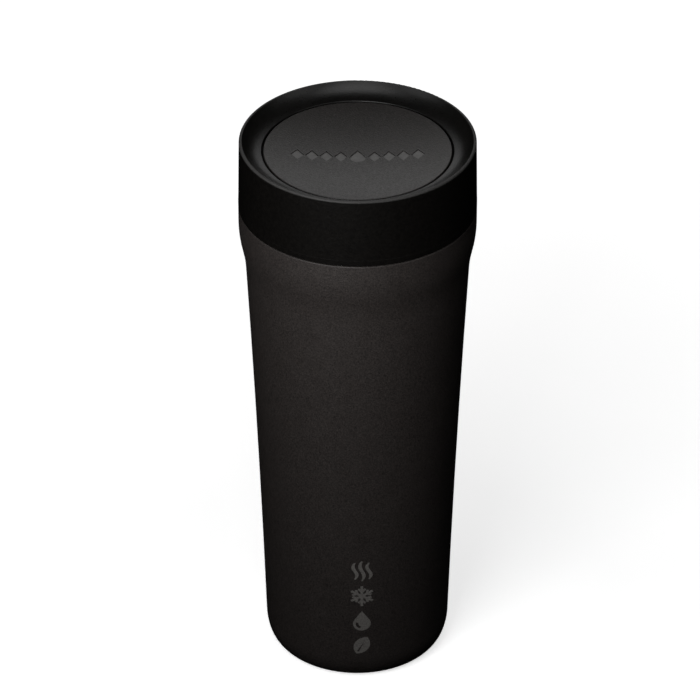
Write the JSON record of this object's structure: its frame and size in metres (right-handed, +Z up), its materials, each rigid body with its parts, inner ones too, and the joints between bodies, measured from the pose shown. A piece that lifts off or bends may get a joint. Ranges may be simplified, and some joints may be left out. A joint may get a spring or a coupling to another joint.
{
  "type": "insulated travel mug",
  "caption": "Tapered vacuum-insulated travel mug, matt black, with a screw-in lid whose flat push button opens a valve for drinking from any side of the rim.",
  "frame": {"origin": "centre of the base, on the plane the mug stands on", "axes": "+Z up along the mug's axis; the printed front faces -Y"},
  "size_m": [0.083, 0.0828, 0.2075],
  "materials": {
    "powder_coat": "matt black powder coat, fine grain",
    "steel": "turned and brushed",
    "copper": "copper foil",
    "solder": "dull solder",
    "getter": "pressed powder pellet",
    "silicone": "matt silicone",
    "collar_plastic": "satin black",
    "dish_plastic": "fine satin",
    "button_plastic": "fine spark-eroded texture",
    "insert_plastic": "moulded",
    "rotor_plastic": "natural acetal",
    "spring_steel": "drawn wire"
  },
  "bodies": {
    "mug": {"outer_shell": "powder_coat", "inner_liner": "steel", "copper_shield": "copper", "base_plate": "steel", "vacuum_seal": "solder", "getter_cup": "steel", "getter_pellet": "getter", "foot_pad": "silicone"},
    "gasket": {"lid_gasket": "silicone"},
    "lid": {"lid_collar": "collar_plastic", "drink_dish": "dish_plastic", "lid_insert": "insert_plastic", "dish_seal": "silicone", "latch_guide": "insert_plastic", "stem_wiper": "silicone", "spring_washer": "steel", "return_spring": "spring_steel"},
    "button": {"push_button": "button_plastic", "button_seal": "silicone", "plunger_stem": "rotor_plastic", "valve_disc": "insert_plastic", "valve_seal": "silicone", "valve_screw": "spring_steel"},
    "rotor": {"latch_rotor": "rotor_plastic"}
  },
  "joints": [
    {"name": "lid_lift", "type": "slide", "parent": "mug", "child": "gasket", "axis": [0, 0, 1], "range_m": [0, 0.036]},
    {"name": "lid_turn", "type": "hinge", "parent": "gasket", "child": "lid", "pos_m": [0, 0, 0], "axis": [0, 0, 1], "range_deg": [0, 1080]},
    {"name": "button_press", "type": "slide", "parent": "lid", "child": "button", "axis": [0, 0, -1], "range_m": [0, 0.0055], "stiffness_N_per_m": 900, "springref_m": -0.004, "deforming": ["return_spring"]},
    {"name": "rotor_turn", "type": "hinge", "parent": "button", "child": "rotor", "pos_m": [0, 0, 0], "axis": [0, 0, 1], "range_deg": [0, 45.5]}
  ],
  "couplings": [
    {"joint": "lid_lift", "follows": "lid_turn", "m_per_rad": 0.0019099},
    {"joint": "rotor_turn", "follows": "button_press", "rad_per_m": 142.8}
  ]
}
